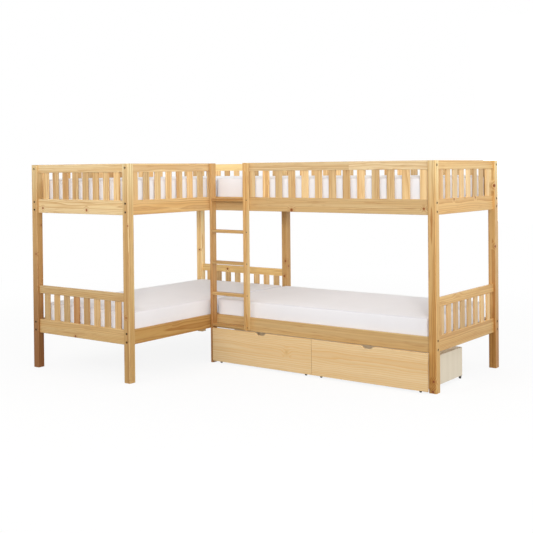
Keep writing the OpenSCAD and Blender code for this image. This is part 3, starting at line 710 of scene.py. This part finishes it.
coverMaterial = clothFinish("mattress_cover", clothLook, clothLook["cover"])
pipingMaterial = clothFinish("mattress_piping", clothLook, clothLook["piping"])
bodyMesh = puff(mattressShell(mattressLook), mattressLook)
tapeMesh = pipingMesh(bodyMesh, mattressLook)
for count, name in enumerate(("upper_left", "lower_left", "upper_right", "lower_right")):
    cadName = "mattress_" + name
    low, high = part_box(cadName)
    turn = Matrix.Rotation(math.radians((90 if "left" in name else 0) + 180 * (count % 2)), 4, "Z")
    spot = Matrix.Translation(((low.x + high.x) / 2, (low.y + high.y) / 2, low.z))
    for part, mesh, material in (("cover", bodyMesh, coverMaterial), ("tape", tapeMesh, pipingMaterial)):
        own = mesh.copy()
        own.transform(spot @ turn)
        own.materials.clear()
        own.materials.append(material)
        made = meshObject(f"{cadName}_{part}", own)
        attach(made, "frame")
        if part == "cover":
            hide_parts(cadName)
print("mattresses made:", len(bodyMesh.vertices), "points each")


coolLight = (0.7, 0.86, 1.0)  # evens out the warm light that the wood throws
studioLook = {
    "bounce": srgb(70, 70, 70),  # what the floor throws back on the bed
    "pale": srgb(250, 250, 250),  # what the camera sees of it
    "white": (1.0, 1.0, 1.0, 1.0),
    "glow": 0.88,  # share of plain white in the floor near the bed
    "world": 0.8,
    "lamps": {
        "key": {
            "place": (10.3, -12.8, 3.0), "aim": (-0.4, 0.0, 1.6),
            "size": (2.4, 2.4), "power": 62, "spread": 40},
        "high": {
            "place": (3.4, -3.0, 3.0), "aim": (0.0, 0.0, 1.0),
            "size": (2.4, 2.4), "power": 36},
        "side": {
            "place": (6.0, 0.3, 2.4), "aim": (0.0, 0.0, 0.9),
            "size": (3.0, 3.0), "power": 84},
        "front": {
            "place": (-1.2, -4.2, 3.0), "aim": (-0.8, 0.0, 1.4),
            "size": (3.0, 1.0), "power": 45},
        "back": {
            "place": (0.6, 7.0, 2.2), "aim": (0.0, 0.6, 0.8),
            "size": (4.0, 3.0), "power": 50},
        "left": {
            "place": (-7.5, 1.0, 2.0), "aim": (-1.0, 0.0, 0.8),
            "size": (3.0, 3.0), "power": 45},
        # hidden lights under the upper beds and over the drawers
        "underLeft": {
            "place": (-0.98, 0.0, 1.2), "aim": (-0.98, 0.0, 0.0),
            "size": (0.7, 1.7), "power": 0.9, "hidden": True},
        "underRight": {
            "place": (0.52, 0.48, 1.2), "aim": (0.52, 0.48, 0.0),
            "size": (1.7, 0.7), "power": 0.9, "hidden": True},
        "overDrawers": {
            "place": (0.52, 0.2, 0.29), "aim": (0.52, 0.2, 0.0),
            "size": (1.8, 0.45), "power": 1.6, "hidden": True},
        # and thin ones between the end slats and the mattresses
        "endUpper": {
            "place": (-0.98, -0.972, 1.42), "aim": (-0.98, 0.0, 1.42),
            "size": (0.9, 0.2), "power": 0.1, "colour": coolLight, "hidden": True},
        "endLower": {
            "place": (-0.98, -0.972, 0.48), "aim": (-0.98, 0.0, 0.48),
            "size": (0.9, 0.24), "power": 0.14, "colour": coolLight, "hidden": True},
        "farUpper": {
            "place": (1.472, 0.48, 1.42), "aim": (0.0, 0.48, 1.42),
            "size": (0.9, 0.2), "power": 0.08, "colour": coolLight, "hidden": True},
        "farLower": {
            "place": (1.472, 0.48, 0.48), "aim": (0.0, 0.48, 0.48),
            "size": (0.9, 0.24), "power": 0.12, "colour": coolLight, "hidden": True},
    },
}


def seenWhite(f):  # 1 for rays from the camera, in mirrors and through glass
    kinds = ("Is Camera Ray", "Is Glossy Ray", "Is Transmission Ray")
    rays = [f.node("LightPath", {}, {}, kind) for kind in kinds]
    first = f.node("Math", {"operation": "MAXIMUM"}, {0: rays[0], 1: rays[1]})
    return f.node("Math", {"operation": "MAXIMUM"}, {0: first, 1: rays[2]})


def makeFloor(look):
    flat = bmesh.new()
    bmesh.ops.create_grid(flat, x_segments=1, y_segments=1, size=60.0)
    mesh = bpy.data.meshes.new("studio_floor")
    flat.to_mesh(mesh)
    flat.free()
    floor = meshObject("studio_floor", mesh)
    floor.location.z = -0.0004
    f = Finish("studio_floor")
    place = f.place()
    seen = seenWhite(f)
    fine = f.noise(place, 3.0)
    pale = fine.blend(look["pale"], tuple(c * 0.985 for c in look["pale"]))
    plain = f.node("BsdfPrincipled", {}, {
        "Base Color": seen.blend(look["bounce"], pale),
        "Roughness": 0.8,
        "Specular IOR Level": 0.2,
    })
    white = f.node("Emission", {}, {"Color": look["white"], "Strength": 1.0})
    far = f.node("VectorMath", {"operation": "LENGTH"}, {0: place}, "Value").step(2.6, 7.0)
    share = seen * (look["glow"] + far * (1.0 - look["glow"]))
    mixed = f.node("MixShader", {}, {0: share, 1: plain, 2: white})
    f.node("OutputMaterial", {}, {"Surface": mixed})
    mesh.materials.append(f.material)


def makeWorld(look):
    world = bpy.data.worlds.new("studio")
    world.use_nodes = True
    f = Finish("studio_world", world)
    light = f.node("Background", {}, {"Strength": look["world"]})
    white = f.node("Background", {}, {"Color": look["white"], "Strength": 1.0})
    mixed = f.node("MixShader", {}, {0: seenWhite(f), 1: light, 2: white})
    f.node("OutputWorld", {}, {"Surface": mixed})
    bpy.context.scene.world = world


def softbox(name, look):
    lamp = bpy.data.lights.new(name, "AREA")
    lamp.shape = "RECTANGLE"
    lamp.size, lamp.size_y = look["size"]
    lamp.energy = look["power"]
    lamp.color = look.get("colour", (1.0, 1.0, 1.0))
    lamp.spread = math.radians(look.get("spread", 180))
    made = bpy.data.objects.new(name, lamp)
    bpy.context.scene.collection.objects.link(made)
    made.visible_camera = made.visible_glossy = not look.get("hidden", False)
    made.location = look["place"]
    made.rotation_euler = (Vector(look["place"]) - Vector(look["aim"])).to_track_quat("Z", "Y").to_euler()


cameraLook = {
    "place": (4.4342, -5.8654, 1.5511),
    "azimuth": 36.62,
    "tilt": 0.781,
    "roll": -0.552,
    "focalPixels": 940.6,
    "centrePixel": (269.63, 181.72),
    "imagePixels": 533,
}


def makeCamera(look):
    a, t, r = (math.radians(look[key]) for key in ("azimuth", "tilt", "roll"))
    back = Vector((math.sin(a) * math.cos(t), -math.cos(a) * math.cos(t), math.sin(t)))
    right = Vector((0, 0, 1)).cross(back).normalized()
    up = back.cross(right)
    turnedRight = right * math.cos(r) + up * math.sin(r)
    turnedUp = up * math.cos(r) - right * math.sin(r)
    camera = bpy.data.cameras.new("camera")
    made = bpy.data.objects.new("camera", camera)
    bpy.context.scene.collection.objects.link(made)
    axes = Matrix((turnedRight, turnedUp, back)).transposed().to_4x4()
    made.matrix_world = Matrix.Translation(look["place"]) @ axes
    size = look["imagePixels"]
    camera.sensor_width = 36.0
    camera.lens = 36.0 * look["focalPixels"] / size
    camera.shift_x = -(look["centrePixel"][0] - size / 2) / size
    camera.shift_y = (look["centrePixel"][1] - size / 2) / size
    camera.clip_end = 200.0
    bpy.context.scene.camera = made


makeFloor(studioLook)
makeWorld(studioLook)
for name, lamp in studioLook["lamps"].items():
    softbox(name + "_softbox", lamp)
makeCamera(cameraLook)
bpy.context.scene.view_settings.view_transform = "Standard"
print("studio ready")
